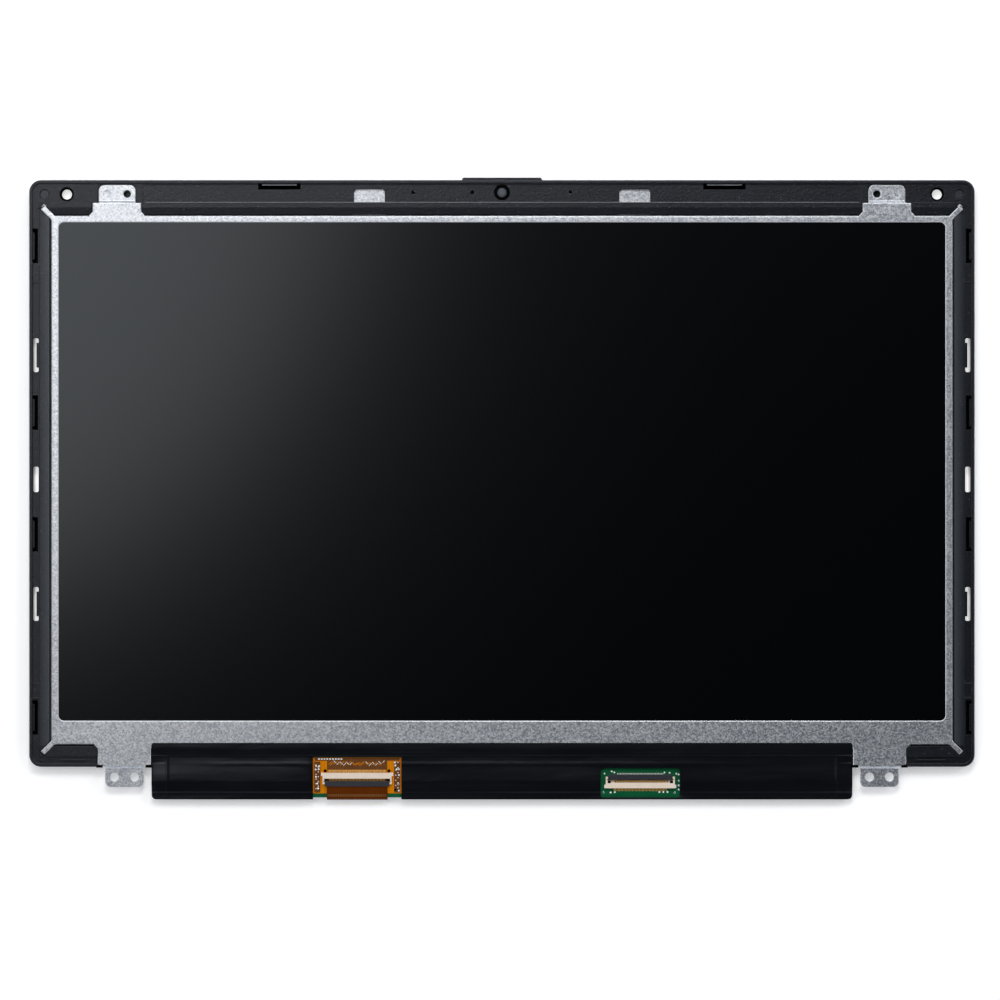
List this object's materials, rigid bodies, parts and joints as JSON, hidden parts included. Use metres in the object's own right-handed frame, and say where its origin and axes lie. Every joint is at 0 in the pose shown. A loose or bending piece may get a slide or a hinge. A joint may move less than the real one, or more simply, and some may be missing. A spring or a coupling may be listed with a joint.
{
  "type": "laptop screen panel",
  "caption": "Flat display module with a steel bezel in a black moulded frame, with camera strip, fixing tabs, driver board under film and flip-lock cable sockets.",
  "frame": {"origin": "middle of the outline, on the plane that the back of the frame rests on", "axes": "+X along the long side, +Y towards the camera edge, +Z out of the display"},
  "size_m": [0.3354, 0.221, 0.005],
  "materials": {
    "moulded_frame": "fine satin moulding",
    "galvanised_steel": "zinc-coated sheet with a fine spangle",
    "white_moulding": "satin",
    "socket_ivory": "satin",
    "plug_ivory": "satin",
    "lens_black": "satin",
    "lens_glass": "polished and coated",
    "sensor_face": "polished",
    "board_green": "solder resist",
    "chip_black": "moulded package",
    "capacitor_ceramic": "fired",
    "black_film": "smooth satin film",
    "flex_amber": "polyimide film",
    "flex_brown": "polyimide film over copper",
    "optical_white": "white film",
    "optical_clear": "clear film",
    "polariser": "anti-glare face",
    "display_glass": "polished",
    "diode_white": "moulded",
    "tinned_metal": "tin plated",
    "contact_gold": "gold flash over copper alloy",
    "lock_black": "satin moulding",
    "seal_rubber": "soft moulding"
  },
  "bodies": {
    "panel": {"array_glass": "display_glass", "board_capacitors": "capacitor_ceramic", "board_film": "black_film", "camera_barrel": "lens_black", "camera_board": "board_green", "camera_housing": "lens_black", "camera_indicator": "diode_white", "camera_lens": "lens_glass", "camera_plug": "plug_ivory", "camera_sensor": "sensor_face", "colour_filter_glass": "display_glass", "diffuser_sheet": "optical_white", "driver_board": "board_green", "driver_chip_left": "chip_black", "driver_chip_middle": "chip_black", "driver_chip_right": "chip_black", "driver_film_left": "flex_amber", "driver_film_middle": "flex_amber", "driver_film_right": "flex_amber", "front_bezel": "galvanised_steel", "front_polariser": "polariser", "inner_frame": "white_moulding", "light_diodes": "diode_white", "light_guide": "optical_clear", "light_lead": "flex_brown", "light_strip_board": "flex_brown", "lower_prism_sheet": "optical_clear", "microphone_left": "tinned_metal", "microphone_right": "tinned_metal", "microphone_seal_left": "seal_rubber", "microphone_seal_right": "seal_rubber", "middle_frame": "moulded_frame", "power_coils": "chip_black", "rear_cover": "galvanised_steel", "rear_polariser": "polariser", "reflector_sheet": "optical_white", "timing_controller": "chip_black", "touch_flex": "flex_amber", "touch_socket_contacts": "contact_gold", "touch_socket_housing": "socket_ivory", "touch_socket_nails": "tinned_metal", "upper_prism_sheet": "optical_clear", "video_socket_contacts": "contact_gold", "video_socket_housing": "socket_ivory", "video_socket_nails": "tinned_metal", "voltage_regulator": "chip_black"},
    "touch_lock": {"touch_socket_lock": "lock_black"},
    "video_lock": {"video_socket_lock": "lock_black"}
  },
  "joints": [
    {"name": "touch_lock_flip", "type": "hinge", "parent": "panel", "child": "touch_lock", "pos_m": [-0.0514, -0.10396, 0.00432], "axis": [-1, 0, 0], "range_deg": [0, 90]},
    {"name": "video_lock_flip", "type": "hinge", "parent": "panel", "child": "video_lock", "pos_m": [0.0491, -0.10312, 0.00417], "axis": [1, 0, 0], "range_deg": [0, 90]}
  ]
}
